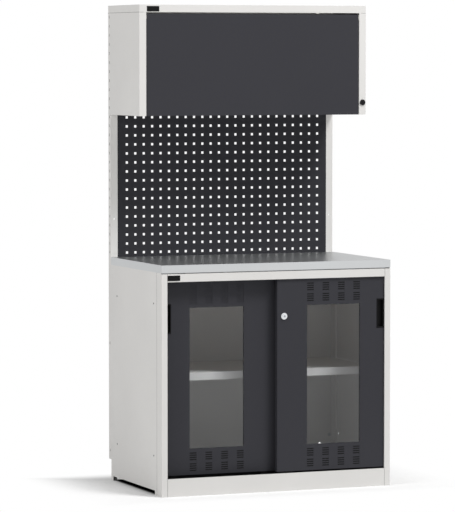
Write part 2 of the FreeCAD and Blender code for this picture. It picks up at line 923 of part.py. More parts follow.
def door_lock():
    """A push lock in the front door: body with a hexagon barrel, clip, plunger and key plug."""
    face = front_lane.door_front
    bore = S.plunger_radius + S.axle_clearance

    def disc(radius):
        return Disc(lock_across, handle_centre, radius)

    body = sub_part("door_lock_body")
    pad(body, "Y", [disc(S.lock_ring_radius), disc(bore)], face - S.lock_ring_depth, face)
    barrel = hexagon(lock_across, handle_centre, S.lock_barrel_flat)
    pad(body, "Y", [barrel, disc(bore)], face, face + S.lock_barrel_length)

    clip = sub_part("door_lock_clip")
    reach = S.lock_clip_side / 2
    throat = S.lock_barrel_flat + S.axle_clearance
    throat_top = handle_centre + throat * 2 * HEXAGON_RISE_SHARE
    outline = [
        (lock_across - reach, handle_centre - reach),
        (lock_across - throat, handle_centre - reach),
        (lock_across - throat, throat_top),
        (lock_across + throat, throat_top),
        (lock_across + throat, handle_centre - reach),
        (lock_across + reach, handle_centre - reach),
        (lock_across + reach, handle_centre + reach),
        (lock_across - reach, handle_centre + reach),
    ]
    behind = skin_rear["right"]
    pad(clip, "Y", [outline], behind, behind + S.lock_clip_gauge)

    plunger = sub_part("door_lock_plunger")
    start = face - S.plunger_reach
    shoulder = start + S.plunger_length
    pad(plunger, "Y", [disc(S.plunger_radius)], start, shoulder)
    pin = square(lock_across, handle_centre, S.bolt_pin_side)
    pad(plunger, "Y", [pin], shoulder, shoulder + S.bolt_pin_length)
    plug_hole = disc(S.key_plug_radius + S.axle_clearance)
    pocket(plunger, "Y", [plug_hole], start - S.cut_overrun, start + S.key_plug_length)

    plug = sub_part("door_key_plug")
    pad(plug, "Y", [disc(S.key_plug_radius)], start, start + S.key_plug_length)
    slot = rectangle(
        lock_across - S.key_slot_width / 2,
        lock_across + S.key_slot_width / 2,
        handle_centre - S.key_slot_length / 2,
        handle_centre + S.key_slot_length / 2,
    )
    pocket(plug, "Y", [slot], start - S.cut_overrun, start + S.key_slot_depth)


# Uprights and tool panel

def upright(name, side):
    """A channel, open to the rear."""
    gauge = S.upright_gauge
    width = S.upright_width
    near = base_rear
    far = unit_rear
    body = sub_part(f"{name}_upright")
    outline = [
        (inward(side, ZERO), near),
        (inward(side, width), near),
        (inward(side, width), far),
        (inward(side, width - gauge), far),
        (inward(side, width - gauge), near + gauge),
        (inward(side, gauge), near + gauge),
        (inward(side, gauge), far),
        (inward(side, ZERO), far),
    ]
    pad(body, "Z", [outline], S.upright_bottom, cap_under)
    axis = upright_axis * side
    heights = base_bolt_heights + overhead_bolt_heights
    holes = [square(axis, height, S.joint_bolt_hole_side) for height in heights]
    holes.append(Disc(axis, S.worktop_height + S.accessory_hole_rise, S.accessory_hole_radius))
    pocket(body, "Y", holes, near - S.cut_overrun, near + gauge)


def tool_panel():
    """A shallow tray between the uprights, with a grid of square holes."""
    gauge = S.sheet_gauge
    edge = half - S.upright_width
    far = base_rear + S.panel_flange
    body = sub_part("tool_panel")
    outer = rectangle(-edge, edge, S.worktop_height, overhead_bottom)
    inner = rectangle(-edge + gauge, edge - gauge, S.worktop_height + gauge, overhead_bottom - gauge)
    pad(body, "Y", [outer], base_rear, far)
    pocket(body, "Y", [inner], base_rear + gauge, far)
    height = overhead_bottom - S.worktop_height
    columns = places_in(edge * 2 - S.panel_side_margin * 2, S.hole_pitch)
    rows = places_in(height - S.panel_end_margin * 2, S.hole_pitch).number
    across = -S.hole_pitch * ((columns.number - 1) / 2)
    along = (S.worktop_height + overhead_bottom - S.hole_pitch * (rows - 1)) / 2 + S.hole_grid_lift
    first_column = [square(across, along + S.hole_pitch * row, S.hole_side) for row in range(rows)]
    holes = pocket(body, "Y", first_column, base_rear - S.cut_overrun, base_rear + gauge)
    repeat(body, holes, "H_Axis", S.hole_pitch, columns)


def joint_bolts(label, heights):
    """Square-necked bolts with hexagon nuts that hold a cabinet's rear flanges to the uprights."""
    body = sub_part(label)
    places = [(upright_axis * side, height) for side in SIDES.values() for height in heights]
    web = base_rear + S.upright_gauge
    heads = [hexagon(across, along, S.joint_bolt_head_flat) for across, along in places]
    shanks = [square(across, along, S.joint_bolt_side) for across, along in places]
    pad(body, "Y", heads, back_face - S.joint_bolt_head, back_face)
    pad(body, "Y", shanks, back_face, web)
    pad(body, "Y", heads, web, web + S.joint_nut_height)


# Overhead cabinet

lip_face = half - S.stile_width
lip_back = lip_face + S.sheet_gauge
flap_edge = lip_face - S.flap_side_gap
flap_front = overhead_front + S.flap_recess
flap_rear = flap_front + S.flap_depth
flap_top = cap_under - S.flap_top_gap
pivot_height = flap_top - S.pivot_drop
pivot_depth = flap_front + S.flap_depth / 2
flap_lock_axis = half - S.stile_width / 2
flap_lock_height = overhead_bottom + S.flap_lock_rise
cam_front = overhead_front + S.flap_lock_barrel_length + S.rest_clearance


def cam_slot():
    """The hole that the lock's cam swings through, in depth and height."""
    spare = S.cam_slot_clearance
    return rectangle(
        cam_front - spare,
        cam_front + S.cam_gauge + spare,
        flap_lock_height - S.cam_length - spare,
        flap_lock_height + S.cam_width / 2 + spare,
    )


def overhead_side(name, side):
    """A side wall with a folded stile in front and a flange behind."""
    gauge = S.sheet_gauge
    body = sub_part(f"overhead_{name}_side")
    lip_end = overhead_front + S.stile_lip
    outline = [
        (inward(side, ZERO), overhead_front),
        (inward(side, S.stile_width), overhead_front),
        (inward(side, S.stile_width), lip_end),
        (inward(side, S.stile_width - gauge), lip_end),
        (inward(side, S.stile_width - gauge), overhead_front + gauge),
        (inward(side, gauge), overhead_front + gauge),
        (inward(side, gauge), base_rear - gauge),
        (inward(side, S.overhead_flange), base_rear - gauge),
        (inward(side, S.overhead_flange), base_rear),
        (inward(side, ZERO), base_rear),
    ]
    pad(body, "Z", [outline], overhead_bottom, cap_under)
    lip_cuts = [square(pivot_depth, pivot_height, S.bush_side + S.bush_fit)]
    if name == "right":
        lip_cuts.append(cam_slot())
        lock_hole = hexagon(flap_lock_axis, flap_lock_height, S.flap_lock_barrel_flat + S.rest_clearance)
        pocket(body, "Y", [lock_hole], overhead_front - S.cut_overrun, overhead_front + gauge)
    lip = ordered(inward(side, S.stile_width + S.cut_overrun), inward(side, S.stile_width - gauge))
    pocket(body, "X", lip_cuts, *lip)
    bolts = [square(upright_axis * side, height, S.joint_bolt_hole_side) for height in overhead_bolt_heights]
    pocket(body, "Y", bolts, base_rear - gauge, base_rear + S.cut_overrun)


def overhead_top_cap():
    """A shallow lid over the cabinet and the uprights, lipped under its front."""
    gauge = S.sheet_gauge
    body = sub_part("overhead_top_cap")
    pad(body, "Z", [rectangle(-half, half, overhead_front, unit_rear)], cap_under, S.total_height)
    inside = rectangle(-inner_wall, inner_wall, overhead_front + gauge, unit_rear - gauge)
    pocket(body, "Z", [inside], cap_under, S.total_height - gauge)
    lip = rectangle(-inner_wall, inner_wall, overhead_front + gauge, overhead_front + S.cap_lip)
    pad(body, "Z", [lip], cap_under, cap_under + gauge)


def overhead_back():
    """The back sheet."""
    body = sub_part("overhead_back")
    outline = rectangle(-inner_wall, inner_wall, overhead_bottom, cap_under)
    pad(body, "Y", [outline], back_face, base_rear - S.sheet_gauge)
    holes = [
        square(upright_axis * side, height, S.joint_bolt_hole_side)
        for side in SIDES.values()
        for height in overhead_bolt_heights
    ]
    pocket(body, "Y", holes, back_face - S.cut_overrun, base_rear)


overhead_floor_front = flap_rear + S.overhead_floor_gap


def overhead_floor():
    """The floor sheet, folded up at the front and rear."""
    gauge = S.sheet_gauge
    near = overhead_floor_front
    low = overhead_bottom
    fold_top = low + S.overhead_floor_fold
    outline = [
        (near, low),
        (back_face, low),
        (back_face, fold_top),
        (back_face - gauge, fold_top),
        (back_face - gauge, low + gauge),
        (near + gauge, low + gauge),
        (near + gauge, fold_top),
        (near, fold_top),
    ]
    pad(sub_part("overhead_floor"), "X", [outline], -inner_wall, inner_wall)


def flap_buffers():
    """Two soft pads that the closed flap rests against."""
    body = sub_part("flap_buffers")
    low = overhead_bottom + S.buffer_rise
    outlines = [
        rectangle(
            (flap_edge - S.buffer_inset) * side - S.buffer_width / 2,
            (flap_edge - S.buffer_inset) * side + S.buffer_width / 2,
            low,
            low + S.buffer_height,
        )
        for side in SIDES.values()
    ]
    pad(body, "Y", outlines, flap_rear + S.rest_clearance, overhead_floor_front)


def flap_panel():
    """A folded tray that hangs by a welded pin at each upper corner."""
    gauge = S.sheet_gauge
    body = sub_part("flap_panel")
    low = overhead_bottom
    pad(body, "Y", [rectangle(-flap_edge, flap_edge, low, flap_top)], flap_front, flap_rear)
    inside = rectangle(-flap_edge + gauge, flap_edge - gauge, low + gauge, flap_top - gauge)
    pocket(body, "Y", [inside], flap_front + gauge, flap_rear)
    pocket(body, "X", [cam_slot()], flap_edge - gauge, flap_edge + S.cut_overrun)
    pin = Disc(pivot_depth, pivot_height, S.pivot_radius)
    for side in SIDES.values():
        pad(body, "X", [pin], *ordered(flap_edge * side, (lip_back + S.pivot_reach) * side))


def flap_bushes():
    """Square nylon bushes in the stiles, bored for the flap's pins."""
    body = sub_part("flap_bushes")
    bore = Disc(pivot_depth, pivot_height, S.pivot_radius + S.pivot_clearance)
    flange = square(pivot_depth, pivot_height, S.bush_flange_side)
    sleeve = square(pivot_depth, pivot_height, S.bush_side)
    for side in SIDES.values():
        pad(body, "X", [flange, bore], *ordered((flap_edge + S.rest_clearance) * side, lip_face * side))
        pad(body, "X", [sleeve, bore], *ordered(lip_face * side, (lip_back + S.bush_tail) * side))


def flap_lock():
    """A lock through the right stile, with a cam that swings into the flap's edge."""
    def disc(radius):
        return Disc(flap_lock_axis, flap_lock_height, radius)

    body = sub_part("flap_lock_body")
    start = overhead_front - S.flap_lock_ring_depth
    bore = disc(S.flap_plug_radius + S.axle_clearance)
    pad(body, "Y", [disc(S.flap_lock_ring_radius), bore], start, overhead_front)
    barrel_end = overhead_front + S.flap_lock_barrel_length
    barrel = hexagon(flap_lock_axis, flap_lock_height, S.flap_lock_barrel_flat)
    pad(body, "Y", [barrel, bore], overhead_front, barrel_end)

    cam = sub_part("flap_lock_cam")
    pad(cam, "Y", [disc(S.flap_plug_radius)], start, cam_front)
    arm = rectangle(
        flap_lock_axis - S.cam_width / 2,
        flap_lock_axis + S.cam_width / 2,
        flap_lock_height - S.cam_length,
        flap_lock_height + S.cam_width / 2,
    )
    pad(cam, "Y", [arm], cam_front, cam_front + S.cam_gauge)
    slot = rectangle(
        flap_lock_axis - S.key_slot_width / 2,
        flap_lock_axis + S.key_slot_width / 2,
        flap_lock_height - S.key_slot_length / 2,
        flap_lock_height + S.key_slot_length / 2,
    )
    pocket(cam, "Y", [slot], start - S.cut_overrun, start + S.key_slot_depth)


for side_name, side_sign in SIDES.items():
    front_post(side_name, side_sign)
    side_panel(side_name, side_sign)
    shelf_standards(side_name, side_sign)
    upright(side_name, side_sign)
    overhead_side(side_name, side_sign)
top_front_rail()
plinth_rail()
base_floor()
base_back_panel()
top_rear_rail()
shelf()
shelf_clips()
worktop()
door_top_track()
track_stops()
door_bottom_guide()
for sliding_door in (rear_door, front_door):
    door_panel(sliding_door)
    door_window(sliding_door)
    door_handle(sliding_door)
    door_hangers(sliding_door)
    door_rollers(sliding_door)
    door_shoes(sliding_door)
lock_keeper()
door_lock()
tool_panel()
joint_bolts("upright_bolts", base_bolt_heights)
joint_bolts("overhead_bolts", overhead_bolt_heights)
overhead_top_cap()
overhead_back()
overhead_floor()
flap_buffers()
flap_panel()
flap_bushes()
flap_lock()

# Rebuild, test every object, then write one file per sub-part
doc.recompute()
for item in doc.Objects:
    if "Invalid" in item.State or "Error" in item.State:
        raise RuntimeError(f"{item.Label} failed: {item.State}")
os.makedirs("parts", exist_ok=True)
shapes = {piece.Label: piece.Shape for piece in sub_parts}
for label, shape in shapes.items():
    if shape.isNull() or not shape.isValid():
        raise RuntimeError(f"{label} has no sound shape")
for label, shape in shapes.items():
    shape.exportStep(f"parts/{label}.step")
    print(label, len(shape.Solids), round(shape.Volume))
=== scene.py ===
"""The cabinet's looks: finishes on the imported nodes, small trim, light, floor and camera.

Metres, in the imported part's own frame. X runs to the right, Y to the back, Z up.
"""
import json
import math

import bmesh
import bpy
from mathutils import Color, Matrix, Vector


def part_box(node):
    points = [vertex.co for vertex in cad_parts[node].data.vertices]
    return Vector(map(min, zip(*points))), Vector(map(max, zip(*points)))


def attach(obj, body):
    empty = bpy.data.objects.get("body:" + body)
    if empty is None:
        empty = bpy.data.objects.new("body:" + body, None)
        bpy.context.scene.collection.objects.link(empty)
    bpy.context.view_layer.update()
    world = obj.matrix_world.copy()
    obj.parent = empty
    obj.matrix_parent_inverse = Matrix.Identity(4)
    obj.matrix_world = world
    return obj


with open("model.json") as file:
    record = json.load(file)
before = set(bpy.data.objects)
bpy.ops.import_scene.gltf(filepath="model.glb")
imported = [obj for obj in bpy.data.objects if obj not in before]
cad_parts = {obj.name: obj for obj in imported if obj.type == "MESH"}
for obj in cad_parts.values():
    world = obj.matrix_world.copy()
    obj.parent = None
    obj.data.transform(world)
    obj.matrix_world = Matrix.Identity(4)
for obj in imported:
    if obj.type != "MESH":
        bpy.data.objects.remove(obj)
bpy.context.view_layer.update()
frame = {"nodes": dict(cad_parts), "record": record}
nodes = frame["nodes"]
MM = 0.001
SIDES = (("left", -1), ("right", 1))


# Colours

WHITE_LEVEL = 255


def picture_colour(red, green, blue):
    """A linear colour from the 8-bit values that a picture shows."""
    shown = Color((red / WHITE_LEVEL, green / WHITE_LEVEL, blue / WHITE_LEVEL))
    return (*shown.from_srgb_to_scene_linear(), 1)


WHITE = (1, 1, 1, 1)
LIGHT_PAINT = picture_colour(217, 215.5, 213)
DARK_PAINT = picture_colour(50, 50, 55)
PANEL_PAINT = picture_colour(49, 49, 53)
PLATED_STEEL = picture_colour(206, 208, 209)
STEEL_RIM = (0.66, 0.66, 0.66, 1)
PRESSED_WOOD = picture_colour(176, 146, 104)
PANE_TINT = picture_colour(247, 248, 249)
PANE_LIGHT = picture_colour(242, 243, 244)
BLACK = picture_colour(14, 14, 15)
BLACK_COAT = picture_colour(16, 16, 17)
ZINC_PLATE = picture_colour(188, 192, 196)
NATURAL_NYLON = picture_colour(214, 212, 204)
BRIGHT_CHROME = picture_colour(228, 230, 232)
PALE_FLOOR = picture_colour(244, 244, 244)


# Materials

NOISE_SHARES = (0.3, 0.7)


def new_material(name):
    """A material with one Principled shader, and its node tree."""
    material = bpy.data.materials.new(name)
    material.use_nodes = True
    tree = material.node_tree
    return material, tree, tree.nodes["Principled BSDF"]


def noise(tree, cell, octaves):
    """Noise in the part's own coordinates, with cells about that many metres across."""
    place = tree.nodes.new("ShaderNodeTexCoord")
    texture = tree.nodes.new("ShaderNodeTexNoise")
    texture.inputs["Scale"].default_value = 1 / cell
    texture.inputs["Detail"].default_value = octaves
    tree.links.new(place.outputs["Object"], texture.inputs["Vector"])
    return texture.outputs["Fac"]


def vary_colour(tree, shader, colour, source, spread_share):
    """Drifts the base colour a little to either side of its mean."""
    ramp = tree.nodes.new("ShaderNodeValToRGB")
    for element, position, sign in zip(ramp.color_ramp.elements, NOISE_SHARES, (-1, 1)):
        element.position = position
        element.color = [channel * (1 + sign * spread_share) for channel in colour[:3]] + [1]
    tree.links.new(source, ramp.inputs["Fac"])
    tree.links.new(ramp.outputs["Color"], shader.inputs["Base Color"])


def vary_roughness(tree, shader, low, high, source):
    """Lets the roughness wander between two values."""
    span = tree.nodes.new("ShaderNodeMapRange")
    span.inputs["From Min"].default_value, span.inputs["From Max"].default_value = NOISE_SHARES
    span.inputs["To Min"].default_value = low
    span.inputs["To Max"].default_value = high
    tree.links.new(source, span.inputs["Value"])
    tree.links.new(span.outputs["Result"], shader.inputs["Roughness"])


def add_bump(tree, shader, source, height):
    """Raises the surface by a height in metres where the source is high."""
    bump = tree.nodes.new("ShaderNodeBump")
    bump.inputs["Distance"].default_value = height
    tree.links.new(source, bump.inputs["Height"])
    tree.links.new(bump.outputs["Normal"], shader.inputs["Normal"])


def powder_coat(name, colour, roughness, peel, shine):
    """Baked powder paint with a fine orange peel and a faint drift in tone."""
    drift_cell = 350 * MM
    gloss_cell = 20 * MM
    peel_cell = 1.6 * MM
    drift_share = 0.025
    spread = 0.05
    material, tree, shader = new_material(name)
    shader.inputs["Specular IOR Level"].default_value = shine
    vary_colour(tree, shader, colour, noise(tree, drift_cell, octaves=3), drift_share)
    gloss = noise(tree, gloss_cell, octaves=2)
    vary_roughness(tree, shader, roughness - spread, roughness + spread, gloss)
    add_bump(tree, shader, noise(tree, peel_cell, octaves=2), peel)
    return material


def worktop_sheet():
    """Smooth plated steel sheet that mirrors softly at a low angle."""
    drift_cell = 200 * MM
    gloss_cell = 30 * MM
    drift_share = 0.02
    smooth = 0.285
    dull = 0.3
    material, tree, shader = new_material("worktop_sheet")
    vary_colour(tree, shader, PLATED_STEEL, noise(tree, drift_cell, octaves=3), drift_share)
    vary_roughness(tree, shader, smooth, dull, noise(tree, gloss_cell, octaves=1))
    shader.inputs["Metallic"].default_value = 1
    shader.inputs["Specular Tint"].default_value = STEEL_RIM
    return material


def board():
    """Pressed wood board, seen only on its edges."""
    chip_cell = 3 * MM
    grain_cell = 2 * MM
    grain = 0.2 * MM
    chip_share = 0.2
    roughness = 0.8
    material, tree, shader = new_material("board")
    vary_colour(tree, shader, PRESSED_WOOD, noise(tree, chip_cell, octaves=4), chip_share)
    shader.inputs["Roughness"].default_value = roughness
    add_bump(tree, shader, noise(tree, grain_cell, octaves=3), grain)
    return material


def window_pane():
    """Clear sheet with a grey tint that lets light into the cabinet."""
    gloss_cell = 80 * MM
    bending = 1.38
    smooth = 0.01
    dull = 0.04
    material, tree, shader = new_material("window")
    shader.inputs["Base Color"].default_value = PANE_TINT
    shader.inputs["IOR"].default_value = bending
    shader.inputs["Transmission Weight"].default_value = 1
    vary_roughness(tree, shader, smooth, dull, noise(tree, gloss_cell, octaves=3))
    clear = tree.nodes.new("ShaderNodeBsdfTransparent")
    clear.inputs["Color"].default_value = PANE_LIGHT
    rays = tree.nodes.new("ShaderNodeLightPath")
    lighting = tree.nodes.new("ShaderNodeMath")
    lighting.operation = "MAXIMUM"
    mix = tree.nodes.new("ShaderNodeMixShader")
    tree.links.new(rays.outputs["Is Shadow Ray"], lighting.inputs[0])
    tree.links.new(rays.outputs["Is Diffuse Ray"], lighting.inputs[1])
    tree.links.new(lighting.outputs["Value"], mix.inputs["Fac"])
    tree.links.new(shader.outputs["BSDF"], mix.inputs[1])
    tree.links.new(clear.outputs["BSDF"], mix.inputs[2])
    tree.links.new(mix.outputs["Shader"], tree.nodes["Material Output"].inputs["Surface"])
    return material


def moulding(name, colour, roughness, grain, shine):
    """Moulded plastic or rubber with a fine spark-eroded grain."""
    drift_cell = 10 * MM
    gloss_cell = 3 * MM
    grain_cell = 0.8 * MM
    drift_share = 0.08
    spread = 0.06
    material, tree, shader = new_material(name)
    shader.inputs["Specular IOR Level"].default_value = shine
    vary_colour(tree, shader, colour, noise(tree, drift_cell, octaves=3), drift_share)
    gloss = noise(tree, gloss_cell, octaves=2)
    vary_roughness(tree, shader, roughness - spread, roughness + spread, gloss)
    add_bump(tree, shader, noise(tree, grain_cell, octaves=2), grain)
    return material


def metal(name, colour, smooth, dull):
    """Bare or plated metal with fine marks in its gloss."""
    drift_cell = 6 * MM
    mark_cell = 1.5 * MM
    drift_share = 0.06
    material, tree, shader = new_material(name)
    shader.inputs["Metallic"].default_value = 1
    vary_colour(tree, shader, colour, noise(tree, drift_cell, octaves=3), drift_share)
    vary_roughness(tree, shader, smooth, dull, noise(tree, mark_cell, octaves=3))
    return material


PEEL = 0.03 * MM
GRAIN = 0.02 * MM
finishes = {
    "carcass_paint": powder_coat("carcass_paint", LIGHT_PAINT, roughness=0.5, peel=PEEL, shine=0.4),
    "door_paint": powder_coat("door_paint", DARK_PAINT, roughness=0.55, peel=PEEL, shine=0.2),
    "panel_paint": powder_coat("panel_paint", PANEL_PAINT, roughness=0.6, peel=PEEL, shine=0.1),
    "worktop_sheet": worktop_sheet(),
    "board": board(),
    "window": window_pane(),
    "black_plastic": moulding("black_plastic", BLACK, roughness=0.5, grain=GRAIN, shine=0.12),
    "black_metal": powder_coat("black_metal", BLACK_COAT, roughness=0.5, peel=GRAIN, shine=0.18),
    "zinc": metal("zinc", ZINC_PLATE, smooth=0.28, dull=0.42),
    "nylon": moulding("nylon", NATURAL_NYLON, roughness=0.5, grain=GRAIN, shine=0.4),
    "rubber": moulding("rubber", BLACK, roughness=0.75, grain=PEEL, shine=0.1),
    "chrome": metal("chrome", BRIGHT_CHROME, smooth=0.12, dull=0.2),
}
for subpart in frame["record"]["subparts"]:
    data = nodes[subpart["node"]].data
    data.materials.clear()
    data.materials.append(finishes[subpart["material_slot"]])


# Folded edges

FOLD_RADIUS = 1.4 * MM
FOLD_STEPS = 2
JOIN_GAP = 0.01 * MM
FLAT_ANGLE = math.radians(1)
SHARP_ANGLE = math.radians(40)
FOLDED = (
    "left_front_post", "right_front_post", "top_front_rail", "plinth_rail",
    "overhead_top_cap", "left_door_handle", "right_door_handle", "shelf",
)


def round_edges(node):
    """Joins a node's separate faces and rounds its sharp edges."""
    join = node.modifiers.new("join", "WELD")
    join.merge_threshold = JOIN_GAP
    flatten = node.modifiers.new("flatten", "DECIMATE")
    flatten.decimate_type = "DISSOLVE"
    flatten.angle_limit = FLAT_ANGLE
    edge = node.modifiers.new("edge", "BEVEL")
    edge.width = FOLD_RADIUS
    edge.segments = FOLD_STEPS
    edge.limit_method = "ANGLE"
    edge.angle_limit = SHARP_ANGLE
    edge.harden_normals = True


for name in FOLDED:
    round_edges(nodes[name])


# Small trim

CORNER_STEPS = 5


def add_piece(name, mesh_builder, body, slot):
    """A new mesh piece with a finish, riding on a body."""
    mesh = bpy.data.meshes.new(name)
    builder = bmesh.new()
    mesh_builder(builder)
    bmesh.ops.recalc_face_normals(builder, faces=builder.faces)
    builder.to_mesh(mesh)
    builder.free()
    piece = bpy.data.objects.new(name, mesh)
    bpy.context.scene.collection.objects.link(piece)
    mesh.materials.append(finishes[slot])
    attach(piece, body)


def rounded_rectangle(width, height, radius):
    """Points round a rectangle with round corners, about its middle."""
    points = []
    for corner in range(4):
        start = corner * math.pi / 2
        across = (width / 2 - radius) * (1 if corner in (0, 3) else -1)
        along = (height / 2 - radius) * (1 if corner in (0, 1) else -1)
        for step in range(CORNER_STEPS + 1):
            angle = start + step / CORNER_STEPS * math.pi / 2
            points.append((across + radius * math.cos(angle), along + radius * math.sin(angle)))
    return points


def side_ring(face, along, height, radius, corners):
    """Points round a circle that lies flat on a side wall."""
    points = []
    for step in range(corners):
        angle = step / corners * 2 * math.pi
        points.append((face, along + radius * math.cos(angle), height + radius * math.sin(angle)))
    return points


def loft(builder, rings):
    """Faces between rings of points, closed at both ends."""
    made = [[builder.verts.new(point) for point in ring] for ring in rings]
    for lower, upper in zip(made, made[1:]):
        for place in range(len(lower)):
            follow = (place + 1) % len(lower)
            builder.faces.new((lower[place], lower[follow], upper[follow], upper[place]))
    builder.faces.new(made[0])
    builder.faces.new(made[-1])


def strip(builder, low, high):
    """A flat box between two corners."""
    made = bmesh.ops.create_cube(builder, size=1)
    middle = (Vector(low) + Vector(high)) / 2
    size = Vector(high) - Vector(low)
    for vert in made["verts"]:
        vert.co = middle + Vector(part * length for part, length in zip(vert.co, size))


def front_plate(name, corner, inset, rise):
    """A thin bare plate on the face of a front sheet, with round corners and a soft rim."""
    width = 54 * MM
    height = 22 * MM
    thickness = 1.2 * MM
    rim = 0.4 * MM
    radius = 2 * MM
    middle = Vector((corner.x + inset + width / 2, 0, corner.z + rise + height / 2))

    def build(builder):
        rings = []
        for shrink, proud in ((0, 0), (0, thickness - rim), (rim, thickness)):
            outline = rounded_rectangle(width - 2 * shrink, height - 2 * shrink, radius)
            rings.append([middle + Vector((x, corner.y - proud, z)) for x, z in outline])
        loft(builder, rings)

    add_piece(name, build, "frame", "black_plastic")


cap_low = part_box("overhead_top_cap")[0]
rail_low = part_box("top_front_rail")[0]
OVERHEAD_PLATE_INSET = 33 * MM
OVERHEAD_PLATE_RISE = 3 * MM
RAIL_PLATE_INSET = 1 * MM
RAIL_PLATE_RISE = 5 * MM
front_plate("overhead_plate", cap_low, OVERHEAD_PLATE_INSET, OVERHEAD_PLATE_RISE)
front_plate("rail_plate", rail_low, RAIL_PLATE_INSET, RAIL_PLATE_RISE)


def cap_buffer():
    """A small light tab under the cap's front edge, over the flap."""
    width = 15 * MM
    depth = 8 * MM
    drop = 3.2 * MM
    rim = 1 * MM
    radius = 2 * MM
    across = 288 * MM
    setback = 1 * MM
    middle = Vector((across, cap_low.y + setback + depth / 2, cap_low.z))

    def build(builder):
        rings = []
        for shrink, fall in ((0, 0), (0, drop - rim), (rim, drop)):
            outline = rounded_rectangle(width - 2 * shrink, depth - 2 * shrink, radius)
            rings.append([middle + Vector((x, y, -fall)) for x, y in outline])
        loft(builder, rings)

    add_piece("cap_buffer", build, "frame", "nylon")


cap_buffer()


def side_rivets(name, side):
    """Low rivet heads near the upper corners of a side wall."""
    low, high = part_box(f"{name}_side_panel")
    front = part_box(f"{name}_front_post")[0].y
    face = low.x if side < 0 else high.x
    radius = 2.6 * MM
    head = 0.7 * MM
    corners = 14
    front_inset = 13 * MM
    rear_inset = 16 * MM
    drops = (14 * MM, 39 * MM)
    head_shares = ((1, 0), (0.85, 0.6), (0.4, 1))

    def build(builder):
        for along in (front + front_inset, high.y - rear_inset):
            for drop in drops:
                rings = []
                for width_share, rise_share in head_shares:
                    top = face + side * head * rise_share
                    rings.append(side_ring(top, along, high.z - drop, radius * width_share, corners))
                loft(builder, rings)

    add_piece(f"{name}_side_rivets", build, "frame", "carcass_paint")


for name, side in SIDES:
    side_rivets(name, side)


def hole_shade_discs():
    """Painted shade: black discs sunk in the four joining holes of the left wall, standing for the
    dark inside of the holes.
    """
    low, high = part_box("left_side_panel")
    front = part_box("left_front_post")[0].y
    radius = 3.9 * MM
    sunk = 0.3 * MM
    thickness = 0.6 * MM
    corners = 16
    front_inset = 93 * MM
    rear_inset = 72 * MM
    low_rise = 161 * MM
    high_drop = 128 * MM

    def build(builder):
        for along in (front + front_inset, high.y - rear_inset):
            for height in (low_rise, high.z - high_drop):
                rings = []
                for depth in (sunk + thickness, sunk):
                    rings.append(side_ring(low.x + depth, along, height, radius, corners))
                loft(builder, rings)

    add_piece("left_hole_shade", build, "frame", "rubber")


hole_shade_discs()


def seam_shade_lines():
    """Painted shade: dark hairlines where the folded sheets of the two cabinets meet, standing for
    the shade in the joints.
    """
    half = 0.5 * MM
    depth = 0.1 * MM

    def build(builder):
        for name, side in SIDES:
            low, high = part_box(f"{name}_front_post")
            wall_low, wall_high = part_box(f"{name}_side_panel")
            face = low.x - depth if side < 0 else high.x
            strip(
                builder,
                (face, high.y - half, wall_low.z),
                (face + depth, high.y + half, wall_high.z),
            )
        for node in ("top_front_rail", "plinth_rail"):
            low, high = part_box(node)
            for across in (low.x, high.x):
                strip(
                    builder,
                    (across - half, low.y - depth, low.z),
                    (across + half, low.y, high.z),
                )
        low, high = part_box("overhead_top_cap")
        flap_low, flap_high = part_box("flap_panel")
        for face, near, far in (
            (low.x - depth, low.x, flap_low.x),
            (high.x, flap_high.x, high.x),
        ):
            strip(
                builder,
                (face, low.y, low.z - half),
                (face + depth, high.y, low.z + half),
            )
            strip(
                builder,
                (near, low.y - depth, low.z - half),
                (far, low.y, low.z + half),
            )

    add_piece("seam_shade_lines", build, "frame", "rubber")


seam_shade_lines()


def door_trim(name, upper_slot):
    """Painted shade for a door: sheets behind its lower and upper vents that darken the slots, and a
    dark strip under its bottom edge for the shade in the gap below.
    """
    low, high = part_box(f"{name}_door_panel")
    frame_low, frame_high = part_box(f"{name}_window_retainer")
    sheet_gauge = 1.2 * MM
    room = 0.3 * MM
    vent_shade_gauge = 0.4 * MM
    vent_shade_height = 90 * MM
    vent_shade_front = low.y + sheet_gauge + room
    gap_shade_drop = 10 * MM
    gap_shade_gauge = 1 * MM

    def build_lower(builder):
        strip(
            builder,
            (frame_low.x, vent_shade_front, frame_low.z - room - vent_shade_height),
            (frame_high.x, vent_shade_front + vent_shade_gauge, frame_low.z - room),
        )

    def build_upper(builder):
        strip(
            builder,
            (frame_low.x, vent_shade_front, frame_high.z + room),
            (frame_high.x, vent_shade_front + vent_shade_gauge, frame_high.z + room + vent_shade_height),
        )

    def build_gap_shade(builder):
        strip(
            builder,
            (low.x, high.y - 2 * gap_shade_gauge, low.z - gap_shade_drop),
            (high.x, high.y - gap_shade_gauge, low.z),
        )

    add_piece(f"{name}_lower_vent_shade", build_lower, f"{name}_door", "black_metal")
    add_piece(f"{name}_upper_vent_shade", build_upper, f"{name}_door", upper_slot)
    add_piece(f"{name}_door_gap_shade", build_gap_shade, f"{name}_door", "rubber")


# Painted shade behind the vents: black behind the lower vents and the right door's upper ones, door
# paint behind the left door's upper ones, whose slots show fainter.
for name, upper_slot in (("left", "door_paint"), ("right", "black_metal")):
    door_trim(name, upper_slot)


